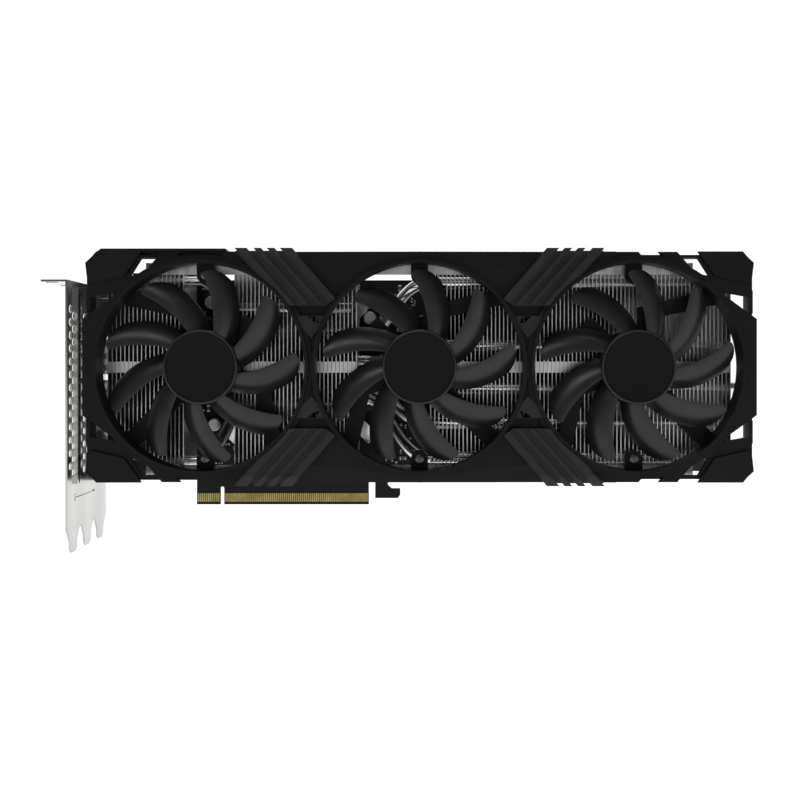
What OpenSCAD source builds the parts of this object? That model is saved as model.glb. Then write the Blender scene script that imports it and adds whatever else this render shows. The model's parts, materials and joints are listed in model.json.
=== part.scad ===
// Triple-fan graphics card: shroud, fans, fin stacks with heat pipes, circuit board, backplate, slot bracket.
// The row frame has +X towards the free end, +Y towards the backplate and +Z up, away from the slot.
// The origin is the middle of the long tongue's bottom edge. Most modules work in the card's face frame:
// u along the card from the middle fan's axis, w up from it, h out of the board towards the fans.

/* [Shroud] */
// Length of the fan shroud
shroud_len = 301.6; // [300:0.2:303]
// Height of the fan shroud
shroud_height = 103.6; // [103:0.2:104.4]
// Distance from the board to the front lip of the fan rings
front_h = 54.9; // [54:0.1:55.5]

/* [Fans] */
// Spacing of the fan axes
fan_pitch = 98; // [97.5:0.1:98.4]
// Radius of the round opening for a fan
bore_r = 46.6; // [46.2:0.1:46.8]
// Radius swept by the blade tips
blade_r = 43.9; // [42:0.1:44.2]
// Radius of the fan hub
hub_r = 16.7; // [16:0.1:17.2]
// Number of blades on a fan
blade_count = 9; // [7:1:11]

/* [Heatsink] */
// Spacing of the fins
fin_pitch = 1.87; // [1.7:0.01:2.2]
// Thickness of a fin
fin_t = 0.45; // [0.3:0.05:0.5]
// Diameter of a heat pipe
pipe_d = 6; // [5:0.5:6]

/* [Bracket] */
// Sheet thickness of the bracket
sheet_t = 0.9; // [0.8:0.05:1.2]

/* [Hidden] */
$fn = 72;
eps = 0.01;

// Place of the face frame's origin, which is the middle fan's axis, in the row frame
axis_x = 61;
axis_z = 68.1;

// Colours
black = [0.10, 0.10, 0.10];
soft_black = [0.14, 0.14, 0.14];
steel = [0.80, 0.79, 0.78];
dark_steel = [0.20, 0.20, 0.20];
alu = [0.62, 0.62, 0.62];
copper = [0.72, 0.70, 0.66];
gold = [0.62, 0.50, 0.20];

half_len = shroud_len / 2;
half_height = shroud_height / 2;
lip_w = 1.6;
lip_r = bore_r + lip_w;
fan_u = [-fan_pitch, 0, fan_pitch];

// Levels in h
deck_h = 53.4;      // front of the flat panels
deck_t = 2;
recess_h = 50.8;    // front of the corner covers' level
wall_back_h = 42;   // back edge of the side walls
ring_back_h = 45.4; // back edge of the fan rings
arm_front_h = 42.4; // front of the fan arms
arm_back_h = 39.6;
fin_front_h = 36.8;
fin_back_h = 7.05;       // back of the fins on the plain board
fin_raised_h = 12.6;     // back of the fins that stand on the heat pipes
board_t = 1.57;
board_h = board_t / 2;

// Fin field
fin_top_w = 48.1;
fin_bottom_w = -50.7;
fin_left_u = -144.2;
fin_right_u = 143.9;
gap_a = [-109, -85.6];  // gap between the fin stacks to the bracket's side of the processor
gap_b = [-29, 5];       // gap on the processor's other side
rail_h = [34.4, 36.8];
rail_w = 5.4;
shroud_screw_places = [for (u = [-63, 63], w = [-48, 45.4]) [u, w]];

// Stands the children up: (u, w, h) becomes the row frame
module face() {
    translate([axis_x, 0, axis_z]) rotate([90, 0, 0]) children();
}

// A slab between two levels of h from a flat outline
module slab(h0, h1) {
    translate([0, 0, h0]) linear_extrude(h1 - h0) children();
}

// The outline and its mirror images in all four quarters
module four_ways() {
    for (sx = [1, -1], sy = [1, -1]) scale([sx, sy]) children();
}

module four_ways_3d() {
    for (mx = [0, 1], my = [0, 1]) mirror([mx, 0, 0]) mirror([0, my, 0]) children();
}

// ---- Shroud ----

end_flat_w = 21.5;

// Plate around an end fan: round towards the middle, straight at the card's end
module end_plate_outline() {
    difference() {
        union() {
            translate([fan_pitch, 0]) circle(bore_r + 3.6, $fn = 96);
            polygon([[fan_pitch + 20, 36], [fan_pitch + 33, 36], [half_len, end_flat_w],
                     [half_len, -end_flat_w], [fan_pitch + 33, -36], [fan_pitch + 20, -36]]);
        }
        translate([fan_pitch, 0]) circle(bore_r + 0.8, $fn = 96);
    }
}

// Flat panel over the middle fan, between the ridge bands, with its slanted sides
module centre_panel_outline() {
    polygon([[-88, half_height], [88, half_height], [88, 47], [62, 20], [52, 20],
             [52, -20], [62, -20], [88, -47], [88, -half_height], [-88, -half_height],
             [-88, -47], [-62, -20], [-52, -20], [-52, 20], [-62, 20], [-88, 47]]);
}

// Slanted rib that runs from the top edge to the fan ring; it also makes the notches in the silhouette
module rib_outline(top_u, top_width) {
    polygon([[top_u, half_height], [top_u + top_width, half_height],
             [top_u + top_width + 17, half_height - 19.5], [top_u + 17, half_height - 19.5]]);
}

// Rail below a corner cover, and the end post
module corner_rail_outline() {
    polygon([[112, 44.6], [132, 40.6], [147.6, 37], [149.8, 34.2],
             [149.8, 24], [148, 24], [148, 31.4], [112, 38]]);
}

// Pad that carries a corner cover
module corner_pad_outline() {
    polygon([[124, half_height - 1.4], [146.5, half_height - 1.4], [150.3, 46.9], [148.9, 35], [131, 39.4]]);
}

module ridge_gap_outline() {
    // gap between two fan rings and the ridge bands, open to the fins
    polygon([[44.8, 19.5], [46.2, 22.7], [50.1, 22.7], [47.2, 20]]);
}

// Small facet between two fan rings, at the foot of a ridge band
module foot_facet_outline() {
    polygon([[40, 22.9], [58, 22.9], [48.5, 13]]);
}

module shroud_frame() color(black) face() {
    difference() {
        union() {
            // plates round the end fans
            slab(deck_h - deck_t, deck_h) {
                end_plate_outline();
                mirror([1, 0]) end_plate_outline();
            }
            // middle panel and the strips that join it to the end fans
            difference() {
                slab(deck_h - 1.4 - deck_t, deck_h - 1.4) centre_panel_outline();
                // let-down strips at the foot of the ridge bands
                slab(deck_h - 2.5, deck_h) four_ways() translate([30, 23]) square([40, 4.6]);
            }
            // slanted ribs, corner rails and end posts
            slab(recess_h - 2, recess_h) four_ways() {
                rib_outline(86, 12.4);
                rib_outline(107.4, 8.4);
                corner_rail_outline();
                corner_pad_outline();
            }
            // top and bottom edges, let down behind the notches
            four_ways_3d() {
                translate([86, half_height - 2.5, wall_back_h]) cube([60, 1.2, recess_h - 1 - wall_back_h]);
                translate([-eps, half_height - 1.8, wall_back_h]) cube([88, 1.8, deck_h - 1.5 - wall_back_h]);
                translate([half_len - 2.8, 20, wall_back_h]) cube([1.8, 26, recess_h - 1 - wall_back_h]);
                translate([half_len - 1.8, -eps, wall_back_h])
                    cube([1.8, end_flat_w - 0.2, deck_h - 1 - wall_back_h]);
            }
            // posts that stand on the heatsink's rails
            for (p = shroud_screw_places) translate([p[0], p[1], rail_h[1] + 0.02])
                cylinder(r = 2.6, h = 14, $fn = 48);
            // fan rings
            for (u = fan_u) translate([u, 0, ring_back_h]) cylinder(r = lip_r, h = front_h - ring_back_h);
        }
        for (u = fan_u) translate([u, 0, 30]) cylinder(r = bore_r, h = 30);
        // small openings beside the middle fan
        translate([0, 0, 45]) linear_extrude(15) four_ways() ridge_gap_outline();
        for (p = shroud_screw_places) translate([p[0], p[1], 0]) {
            translate([0, 0, 30]) cylinder(r = 1.3, h = 25, $fn = 32);
            translate([0, 0, 50.85]) cylinder(r = 2.4, h = 5, $fn = 48);
        }
        // facets that slope back to the top and bottom edges beside the middle fan
        for (mx = [0, 1], my = [0, 1]) mirror([mx, 0, 0]) mirror([0, my, 0]) edge_facet_cut();
        // seats for the ridge bands
        translate([0, 0, deck_h - 1.4]) linear_extrude(10) four_ways() ridge_seat_outline();
    }
}

facet_turn = 6;
facet_slope = 8;
// Wedge cut off a middle panel above a line that rises from the ridge band to the fan ring's top
module edge_facet_cut() {
    translate([-56, 43.4, deck_h - 1.4]) rotate([0, 0, facet_turn]) rotate([-facet_slope, 0, 0])
        cube([56.2, 20, 10]);
}

// Outline of one ridge band, from the shroud's edge down to the middle fan
module ridge_seat_outline() {
    difference() {
        union() {
            polygon([[84.4, 54], [57.6, 54], [37.2, 30.4], [42, 27.4], [59.4, 27.4]]);
            foot_facet_outline();
        }
        circle(lip_r + 0.25, $fn = 96);
        translate([fan_pitch, 0]) circle(lip_r + 0.25, $fn = 96);
    }
}

ridge_front_h = 56;
ridge_bars = [[58, 5.6], [66, 3.4], [72, 3.4], [78.4, 5.4]];   // start at the shroud's edge, and width
ridge_flank = 0.8;

// Slanted outline of one ridge, narrower by inset on each flank
module ridge_bar(bar, inset) {
    polygon([[bar[0] + inset, 54.5], [bar[0] + bar[1] - inset, 54.5],
             [bar[0] + bar[1] - inset - 27, 24], [bar[0] + inset - 27, 24]]);
}

module ridge_band() {
    intersection() {
        union() {
            slab(deck_h - 1.4, deck_h + 0.8) polygon([[48.7, 51.9], [83.3, 51.9], [58, 23], [26, 23]]);
            slab(deck_h - 1.4, deck_h - 0.4) difference() {
                foot_facet_outline();
                ridge_gap_outline();
            }
            for (bar = ridge_bars) {
                slab(deck_h - 1, ridge_front_h - ridge_flank) ridge_bar(bar, 0);
                slab(deck_h, ridge_front_h) ridge_bar(bar, ridge_flank);
            }
        }
        slab(40, 60) intersection() {
            ridge_seat_outline();
            translate([0, -60]) square([100, 113.3]);
        }
        // sloping cut that carries the band back over the shroud's edge
        rotate([90, 0, 90]) linear_extrude(120)
            polygon([[0, 40], [53.3, 40], [53.3, 53.4], [48.6, ridge_front_h], [0, ridge_front_h]]);
    }
}

module ridge_trim() color(soft_black) face() four_ways_3d() ridge_band();

// Corner cover: the flat faceted plate at a corner of the shroud
module corner_cover_outline() {
    polygon([[124.7, half_height], [144.9, half_height], [149.2, 46.7], [147.7, 37.4], [132.6, 40.8]]);
}

module corner_covers() color(soft_black) face() four_ways_3d()
    slab(recess_h, recess_h + 1.6) corner_cover_outline();

// Raised plate on the top edge at the bracket end
module top_plate() color(black) face() {
    translate([0, half_height, 0]) {
        slab(30, deck_h - 1) polygon([[-144.4, 0], [-142.8, 1.3], [-87, 1.3], [-86, 0]]);
        // lip that closes the gap behind the notches
        slab(30, recess_h - 2.1) translate([-144.4, -1.25]) square([56.2, 1.25 + eps]);
    }
}

// ---- Heatsink ----

// The fins nearest the card's two ends are shorter, which opens the shroud's corners
corner_u = 126.5;
corner_inset = 7.6;
fold_t = 0.4;

// Folded tabs along the fins' top and bottom edges, that lock them together
module edge_folds(u0, u1, inset, back_h) {
    for (w = [fin_bottom_w + inset, fin_top_w - inset - fold_t])
        translate([u0, w, back_h]) cube([u1 - u0, fold_t, 6]);
}

module fins(u0, u1, back_h) {
    n = floor((u1 - u0 - fin_t) / fin_pitch);
    step = (u1 - u0 - fin_t) / n;
    for (i = [0:n]) {
        u = u0 + i * step;
        inset = abs(u + fin_t / 2) > corner_u ? corner_inset : 0;
        front_inset = max(inset, rail_w + 0.1);
        translate([u, fin_bottom_w + inset, back_h])
            cube([fin_t, fin_top_w - fin_bottom_w - 2 * inset, rail_h[0] - back_h]);
        // front part of the fin, between the rails
        translate([u, fin_bottom_w + front_inset, rail_h[0] - eps])
            cube([fin_t, fin_top_w - fin_bottom_w - 2 * front_inset, fin_front_h - rail_h[0] + eps]);
    }
    translate([u0, -2.6, fin_front_h - 0.5]) cube([u1 - u0, 5.1, 0.5]);
    edge_folds(max(u0, -corner_u), min(u1, corner_u), 0, back_h);
    if (u0 < -corner_u) edge_folds(u0, -corner_u, corner_inset, back_h);
    if (u1 > corner_u) edge_folds(corner_u, u1, corner_inset, back_h);
}

module fin_stack_left() color(alu) face() fins(fin_left_u, gap_a[0], fin_back_h);
module fin_stack_middle() color(alu) face() fins(gap_a[1], gap_b[0], fin_raised_h);
module fin_stack_right() color(alu) face() difference() {
    fins(gap_b[1], fin_right_u, fin_back_h);
    inlet_pocket();
}

// Long rails that tie the fin stacks together and carry the shroud
module heatsink_rails() color(alu) face() difference() {
    for (w = [fin_bottom_w, fin_top_w - rail_w])
        translate([-corner_u, w, rail_h[0] + eps]) cube([2 * corner_u, rail_w, rail_h[1] - rail_h[0]]);
    for (p = shroud_screw_places) translate([p[0], p[1], 30]) cylinder(r = 1.3, h = 10, $fn = 32);
}

// Screws that hold the shroud on the rails, hidden under the ridge bands
module shroud_screws() color(dark_steel) face() for (p = shroud_screw_places) translate([p[0], p[1], 0]) {
    translate([0, 0, rail_h[0] + 0.1]) cylinder(r = 1.2, h = 50.9 - rail_h[0], $fn = 32);
    translate([0, 0, 50.9]) cylinder(r = 2.2, h = 1, $fn = 48);
}

// Corners of each heat pipe's route in (u, w, h): along the base under the middle stack, up into the fins
lane = 6.3;
base_pipe_h = 9.5;
fin_pipe_h = 29;
base_left_u = -84;
base_right_u = -30;

// Rise from the end of a base lane, or the fall into it, between two fin stacks
function rise_right(lane_w, fin_w, end_u) = [[base_right_u, lane_w, base_pipe_h], [-20, lane_w, base_pipe_h],
    [-4, fin_w, fin_pipe_h], [10, fin_w, fin_pipe_h], [end_u, fin_w, fin_pipe_h]];
function fall_left(lane_w, fin_w) = [[-125, fin_w, fin_pipe_h], [-108, fin_w, fin_pipe_h],
    [-98, fin_w, fin_pipe_h], [-87, lane_w, base_pipe_h], [base_left_u, lane_w, base_pipe_h]];
pipe_routes = [
    concat(fall_left(2.5 * lane, 41), rise_right(2.5 * lane, 39, 125)),
    concat(fall_left(-2.5 * lane, -44), rise_right(-2.5 * lane, -42, 125)),
    [[-34, 1.5 * lane, base_pipe_h], [-84, 1.5 * lane, base_pipe_h], [-96, 1.5 * lane, base_pipe_h],
     [-96, 27, fin_pipe_h], [-84, 27, fin_pipe_h], [-32, 27, fin_pipe_h]],
    concat([[base_left_u, 0.5 * lane, base_pipe_h]], rise_right(0.5 * lane, 10, 142)),
    concat([[base_left_u, -0.5 * lane, base_pipe_h]], rise_right(-0.5 * lane, -10, 149)),
    concat([[base_left_u, -1.5 * lane, base_pipe_h]], rise_right(-1.5 * lane, -26, 142))
];

function cut_corner(a, b, s) = a + (b - a) * s;
// Chaikin's corner cutting, which keeps the two ends
function rounded(p) = [for (i = [0:len(p) - 2])
    each (i == 0 ? [p[0], cut_corner(p[0], p[1], 0.75)]
        : i == len(p) - 2 ? [cut_corner(p[i], p[i + 1], 0.25), p[i + 1]]
        : [cut_corner(p[i], p[i + 1], 0.25), cut_corner(p[i], p[i + 1], 0.75)])];
function unit(v) = v / norm(v);
function heading(p, i) = unit(p[min(i + 1, len(p) - 1)] - p[max(i - 1, 0)]);

// A round tube of radius r along the points p
module tube(p, r, sides = 12) {
    rings = [for (i = [0:len(p) - 1])
        let (t = heading(p, i), a = unit(cross(t, [0.05, 0.2, 1])), b = cross(t, a))
        for (k = [0:sides - 1]) p[i] + r * (cos(360 * k / sides) * a + sin(360 * k / sides) * b)];
    n = len(p);
    faces = concat(
        [[for (k = [0:sides - 1]) k]],
        [for (i = [0:n - 2], k = [0:sides - 1])
            let (j = (k + 1) % sides)
            [i * sides + k, (i + 1) * sides + k, (i + 1) * sides + j, i * sides + j]],
        [[for (k = [sides - 1:-1:0]) (n - 1) * sides + k]]);
    polyhedron(rings, faces, convexity = 6);
}

module heat_pipes() color(copper) face()
    for (route = pipe_routes) tube(rounded(rounded(route)), pipe_d / 2);

// Centre of the processor, its screws and the plate that cools it
gpu_u = -58;
gpu_w = 0;
gpu_screw_off = 33;
plate_back_h = 3.4;
plate_front_h = base_pipe_h - pipe_d / 2;
base_back_h = 4.2;

module cold_plate() color(copper) face() difference() {
    union() {
        translate([gpu_u - 24, gpu_w - 20.4, plate_back_h]) cube([48, 40.8, plate_front_h - plate_back_h]);
        // flanges over the memory, and arms to the spring screws
        translate([gpu_u - 20, gpu_w - 38, base_back_h]) cube([40, 76, plate_front_h - base_back_h]);
        for (a = [45, -45]) translate([gpu_u, gpu_w, base_back_h]) rotate(a)
            translate([-50, -3.3, 0]) cube([100, 6.6, plate_front_h - base_back_h]);
        for (p = gpu_screw_places()) translate([p[0], p[1], board_h])
            cylinder(r = 3.2, h = base_back_h - board_h + eps, $fn = 48);
    }
    for (p = gpu_screw_places()) translate([p[0], p[1], 0]) cylinder(r = 1.5, h = 5, $fn = 32);
}

// Plate between the fins and the board's power stages
module base_plate(u0, u1) {
    difference() {
        translate([u0, -46, base_back_h]) cube([u1 - u0, 92, fin_back_h - 0.05 - base_back_h]);
        for (p = board_screw_places) translate([p[0], p[1], 0]) cylinder(r = 1.7, h = 10, $fn = 32);
    }
    // feet that stand on the board round the screws
    for (p = board_screw_places) if (p[0] > u0 && p[0] < u1) translate([p[0], p[1], board_h]) difference() {
        cylinder(r = 3, h = base_back_h - board_h + eps, $fn = 48);
        translate([0, 0, -1]) cylinder(r = 1.7, h = 10, $fn = 32);
    }
}

// Room left for the power inlet
module inlet_pocket() {
    translate([inlet_u - inlet_len / 2 - 1, inlet_floor_w - 1, 0])
        cube([inlet_len + 2, 30, board_h + inlet_deep + 0.6]);
}

module base_plate_left() color(soft_black) face() base_plate(-140.5, -112);
module base_plate_right() color(soft_black) face() difference() {
    base_plate(8, 58);
    inlet_pocket();
}

// Soft pads between the board's parts and the plates
module thermal_pads() color([0.55, 0.57, 0.6]) face() {
    for (u = stage_columns) translate([u - 0.5, -37, board_h + 0.9])
        cube([7, stage_rows(u) * stage_pitch - 3, base_back_h - board_h - 0.9]);
    for (p = covered_memory) translate([p[0], p[1], board_h + 1.2])
        cube([memory_side, memory_side, base_back_h - board_h - 1.2]);
}

// ---- Circuit board ----

tongue_u = -axis_x;           // middle of the long tongue
tongue_w = -axis_z;           // bottom edge of the tongue
board_right_u = 61;
board_left_u = -154;
board_top_w = 42.9;
board_bottom_w = -56;
long_tongue = 71.65;
short_tongue = 11.65;
key_gap = 1.9;
key_r = key_gap / 2;
notch_top_w = tongue_w + 8.8;

module board_outline() {
    long_right = tongue_u + long_tongue / 2;
    long_left = tongue_u - long_tongue / 2;
    short_left = long_left - key_gap - short_tongue;
    difference() {
        union() {
            translate([board_left_u, board_bottom_w])
                square([board_right_u - board_left_u, board_top_w - board_bottom_w]);
            translate([short_left, tongue_w]) square([long_right - short_left, 14]);
            // retention hook behind the tongue
            polygon([[long_right + 3.2, -56], [long_right + 3.2, -65], [long_right + 14.4, -65],
                     [long_right + 15.6, -63.4], [long_right + 15.6, -60.2], [long_right + 11.4, -60.2],
                     [long_right + 9.6, -58.6], [long_right + 9.4, -56]]);
        }
        // key notch and the gap before the hook
        translate([long_left - key_gap, tongue_w - 1]) square([key_gap, notch_top_w - tongue_w + 1 - key_r]);
        translate([long_left - key_r, notch_top_w - key_r]) circle(key_r, $fn = 32);
        translate([long_right, tongue_w - 1]) square([3.2, 10]);
        translate([long_right + 1.6, -59.2]) circle(1.6, $fn = 32);
    }
}

module circuit_board() color([0.07, 0.07, 0.07]) face() difference() {
    slab(-board_h, board_h) board_outline();
    for (p = gpu_screw_places()) translate([p[0], p[1], -5]) cylinder(r = 1.6, h = 10, $fn = 32);
    for (p = board_screw_places) translate([p[0], p[1], -5]) cylinder(r = 1.6, h = 10, $fn = 32);
    for (w = ear_screw_w) translate([ear_screw_u, w, -5]) cylinder(r = 1.6, h = 10, $fn = 32);
}

function gpu_screw_places() =
    [for (x = [-1, 1], y = [-1, 1]) [gpu_u + x * gpu_screw_off, gpu_w + y * gpu_screw_off]];
board_screw_places = [for (u = [-118, 14, 54], w = [-42, 38]) [u, w]];

contact_pitch = 1;
contact_len = 4.2;
contact_t = 0.06;
contact_inset = 0.48;

module contact(u, h) {
    translate([u, tongue_w + 1.3, h]) cube([0.7, contact_len, contact_t]);
}

module edge_contacts() color(gold) face() {
    long_left = tongue_u - long_tongue / 2;
    for (h = [board_h, -board_h - contact_t]) {
        for (i = [0:70]) contact(long_left + contact_inset + i * contact_pitch, h);
        for (i = [0:10]) contact(long_left - key_gap - short_tongue + contact_inset + i * contact_pitch, h);
    }
}

module gpu_package() color([0.12, 0.22, 0.16]) face()
    translate([gpu_u - 20, gpu_w - 20, board_h]) cube([40, 40, 1.7]);

module gpu_die() color([0.35, 0.36, 0.38]) face()
    translate([gpu_u - 8.5, gpu_w - 8.8, board_h + 1.7]) cube([17, 17.6, 0.8]);

// Memory packages round the processor; the plate covers those above and below it
memory_side = 12;
covered_memory = [for (u = [gpu_u - 18, gpu_u + 6], w = [-38, 26]) [u, w]];
open_memory = [for (u = [gpu_u - 38, gpu_u + 26], w = [-22, -6, 8]) [u, w]];

module memory_chips() color([0.08, 0.08, 0.09]) face() for (p = concat(covered_memory, open_memory))
    translate([p[0], p[1], board_h]) cube([memory_side, memory_side, 1.2]);

// Columns of power stages, and of the chokes beside them
stage_columns = [-139, 19];
stage_pitch = 11;
function stage_rows(u) = u < 0 ? 7 : 6;

module power_stages() color([0.09, 0.09, 0.10]) face() for (u = stage_columns, i = [0:stage_rows(u) - 1])
    translate([u, -36 + i * stage_pitch, board_h]) cube([6, 6, 0.9]);

module chokes() color([0.16, 0.16, 0.17]) face() for (u = stage_columns, i = [0:stage_rows(u) - 1])
    translate([u + 9, -37 + i * stage_pitch, board_h]) cube([8, 8, 3.2]);

// Solid capacitors: tall ones in the gaps between the fins, low ones elsewhere
tall_caps = [[-102, 31.5], [-100.5, -28.2], [-24.4, 24]];
low_caps = [for (u = [-107, 44], w = [-30, -10, 10]) [u, w]];
cap_r = 3.15;

module capacitors() color([0.55, 0.55, 0.56]) face() {
    for (p = tall_caps) translate([p[0], p[1], board_h]) cylinder(r = cap_r, h = 7.6);
    for (p = low_caps) translate([p[0], p[1], board_h]) cylinder(r = cap_r, h = 3.2);
}

module fan_headers() color([0.85, 0.84, 0.80]) face()
    for (u = [30, 42]) translate([u, -52.5, board_h]) difference() {
        cube([8, 4.4, 5]);
        translate([0.8, 0.8, 1.2]) cube([6.4, 2.8, 6]);
    }

// Power inlet at the top edge of the board
inlet_u = 36;
inlet_floor_w = 31.4;
inlet_len = 22;
inlet_deep = 9.2;

module power_connector() color([0.06, 0.06, 0.06]) face() difference() {
    translate([inlet_u - inlet_len / 2, inlet_floor_w, board_h]) cube([inlet_len, 13.6, inlet_deep]);
    translate([inlet_u - 9.7, inlet_floor_w + 1.6, board_h + 1.1]) cube([19.4, 20, 7]);
}

module power_pins() color(gold) face()
    for (row = [0, 1], i = [0:5])
        translate([inlet_u - 7.5 + 3 * i - 0.4, inlet_floor_w + 1.6, board_h + 2.3 + 3.2 * row])
            cube([0.8, 6.4, 0.8]);

// ---- Slot bracket and its sockets ----

slots = 3;                    // case slots that the bracket covers
slot_pitch = 20.32;
bracket_w = 18.42 + slot_pitch * (slots - 1);
bracket_far_h = -2.8;
bracket_u = -157.4;           // outer face of the bracket
bracket_top_w = 38.9;
prong_w = 10.2;
prong_tip_w = -83.6;
shoulder_w = -72.6;
port_w = [25, 5, -15, -34];   // socket centres, the last one is the HDMI socket
port_high = 6;
port_h = board_h + 0.05 + port_high / 2;   // middle of the sockets in h
port_len = 17.2;
ear_screw_u = bracket_u + 7.9;
ear_screw_w = [-46.5, 37.5];

// Vents on a hexagonal grid: columns in h, to both sides of the ribs
vent_pitch = 5.9;
vent_r = 2.1;
vent_rows = 13;
vent_top_w = 26;
vent_columns = [52, 47.6, 37, 31.9, 26.8, 21.7, 16.6];
ribs = [[41, 1.5], [43.9, 2]];   // start in h, and width
slit_w = -59;
slit_h = [16, 45.6];

// Bracket sheet seen along the card: x is h, y is w
module bracket_outline() {
    difference() {
        union() {
            translate([bracket_far_h, shoulder_w]) square([bracket_w, bracket_top_w - shoulder_w]);
            for (i = [0:slots - 1]) {
                mid = bracket_far_h + 9.21 + slot_pitch * i;
                polygon([[mid - 9.21, shoulder_w + eps], [mid + 9.21, shoulder_w + eps],
                         [mid + 7.4, shoulder_w - 2.2], [mid + prong_w / 2, shoulder_w - 5.4],
                         [mid + prong_w / 2 - 0.5, prong_tip_w + 1.8], [mid + prong_w / 2 - 2.3, prong_tip_w],
                         [mid - prong_w / 2 + 2.3, prong_tip_w], [mid - prong_w / 2 + 0.5, prong_tip_w + 1.8],
                         [mid - prong_w / 2, shoulder_w - 5.4], [mid - 7.4, shoulder_w - 2.2]]);
            }
        }
        // socket windows
        for (w = port_w) translate([port_h - port_high / 2 - 0.1, w - port_len / 2 - 0.1])
            square([port_high + 0.2, port_len + 0.2]);
        // vents, on either side of the ribs
        for (col = [0:len(vent_columns) - 1], row = [0:vent_rows - 1])
            translate([vent_columns[col], vent_top_w - (row + (col % 2) / 2) * vent_pitch])
                rotate(30) circle(vent_r, $fn = 6);
        // round hole at the end of the stamped groove
        translate([slit_h[1], slit_w]) circle(1.6, $fn = 32);
    }
}

module slot_bracket() color(steel) face() {
    difference() {
        union() {
            // sheet
            translate([bracket_u + sheet_t, 0, 0]) rotate([0, -90, 0])
                linear_extrude(sheet_t) bracket_outline();
            // screw tab, bent away from the card
            translate([bracket_u - 10.9, bracket_top_w - sheet_t, bracket_far_h])
                cube([10.9 + sheet_t, sheet_t, bracket_w]);
            // two stiffening ribs on the inner face
            for (rib = ribs) translate([bracket_u + sheet_t - eps, -53, rib[0]]) cube([1.3, 89.5, rib[1]]);
            // board ears
            for (w = [-50, 34]) translate([bracket_u + sheet_t - eps, w, board_h]) cube([11, 7, sheet_t]);
        }
        // stamped groove below the vents
        translate([bracket_u + sheet_t - 0.5, slit_w - 0.5, slit_h[0]]) cube([1, 1, slit_h[1] - slit_h[0]]);
        for (i = [0:slots - 1])
            translate([bracket_u - 6.6, bracket_top_w, bracket_far_h + 14.4 + slot_pitch * i]) {
                rotate([90, 0, 0]) translate([0, 0, -3]) cylinder(r = 2.2, h = 6, $fn = 48);
                translate([-10, -3, -2.2]) cube([10, 6, 4.4]);
            }
        for (w = ear_screw_w) translate([ear_screw_u, w, -2]) cylinder(r = 1.5, h = 6, $fn = 32);
    }
}

module socket_shell(w, deep) {
    translate([bracket_u - 0.6, w - port_len / 2, port_h - port_high / 2]) difference() {
        cube([deep, port_len, port_high]);
        translate([-eps, 0.45, 0.45]) cube([deep - 1, port_len - 0.9, port_high - 0.9]);
    }
}

module displayport_sockets() color(steel) face() for (i = [0:2]) socket_shell(port_w[i], 17);
module hdmi_socket() color(steel) face() socket_shell(port_w[3], 13);
module port_tongues() color(black) face() for (i = [0:3])
    translate([bracket_u + 4.4, port_w[i] - 6.2, port_h - 0.7]) cube([i == 3 ? 6.9 : 10.9, 12.4, 1.4]);

module bracket_screws() color(steel) face() for (w = ear_screw_w) translate([ear_screw_u, w, 0]) {
    translate([0, 0, board_h + sheet_t]) cylinder(r = 2.6, h = 1.8, $fn = 48);
    translate([0, 0, -board_h]) cylinder(r = 1.45, h = board_t + sheet_t + eps, $fn = 32);
}

// ---- Backplate ----

back_h = -2.6;
back_t = 1.2;
emboss_count = 4;
emboss_pitch = 8.9;

// Field of the backplate's embossing, clear of its edges
module embossed_field() {
    translate([-148, -48]) square([290, 96 - 9]);
}

module backplate_outline() {
    difference() {
        polygon([[-152, -47], [-147, -52], [140, -52], [149, -43], [149, 33], [140, board_top_w + 0.4],
                 [-147, board_top_w + 0.4], [-152, 38]]);
        // slots behind the free end, which let the air through
        for (i = [0:8]) translate([88 + i * 5.6, 0]) polygon([[0, 6], [3.2, 6], [11, 34], [7.8, 34]]);
        for (i = [0:8]) translate([88 + i * 5.6, 0]) polygon([[0, -6], [3.2, -6], [11, -34], [7.8, -34]]);
        translate([gpu_u, gpu_w]) square([29, 29], center = true);
        for (p = gpu_screw_places()) translate(p) circle(4.2, $fn = 48);
    }
}

module backplate() color(black) face() difference() {
    union() {
        slab(back_h - back_t, back_h) backplate_outline();
        // embossed bands that repeat the front's slanted ridges
        intersection() {
            slab(back_h - back_t - 0.7, back_h - back_t + eps) for (side = [1, -1], i = [0:emboss_count - 1])
                scale([1, side]) translate([-20 + i * emboss_pitch, 0])
                    polygon([[26, 4], [29.5, 4], [72, 50], [68.5, 50]]);
            slab(-10, 0) embossed_field();
        }
        for (p = board_screw_places) translate([p[0], p[1], back_h - eps])
            cylinder(r = 3, h = -board_h - back_h + eps, $fn = 48);
    }
    for (p = board_screw_places) translate([p[0], p[1], -10]) {
        cylinder(r = 1.6, h = 20, $fn = 32);
        cylinder(r = 3.4, h = 10 + back_h - back_t, $fn = 48);
    }
}

module backplate_screws() color(dark_steel) face() for (p = board_screw_places) translate([p[0], p[1], 0]) {
    translate([0, 0, back_h - back_t - 1]) cylinder(r = 2.6, h = 1, $fn = 48);
    translate([0, 0, back_h - back_t - eps]) cylinder(r = 1.5, h = 9.6, $fn = 32);
}

// Spring-steel brace over the back of the processor
module retention_brace() color([0.3, 0.3, 0.3]) face() difference() {
    slab(-board_h - 1.1, -board_h - 0.1) for (a = [45, -45])
        translate([gpu_u, gpu_w]) rotate(a) square([102, 9], center = true);
    for (p = gpu_screw_places()) translate([p[0], p[1], -10]) cylinder(r = 1.6, h = 20, $fn = 32);
    translate([gpu_u, gpu_w, -10]) cylinder(r = 3, h = 20);
}

module spring_screws() color(steel) face() for (p = gpu_screw_places()) translate([p[0], p[1], 0]) {
    translate([0, 0, -4.9]) cylinder(r = 2.8, h = 0.95, $fn = 48);
    translate([0, 0, -4]) cylinder(r = 1.4, h = 8.6, $fn = 32);
}

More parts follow.
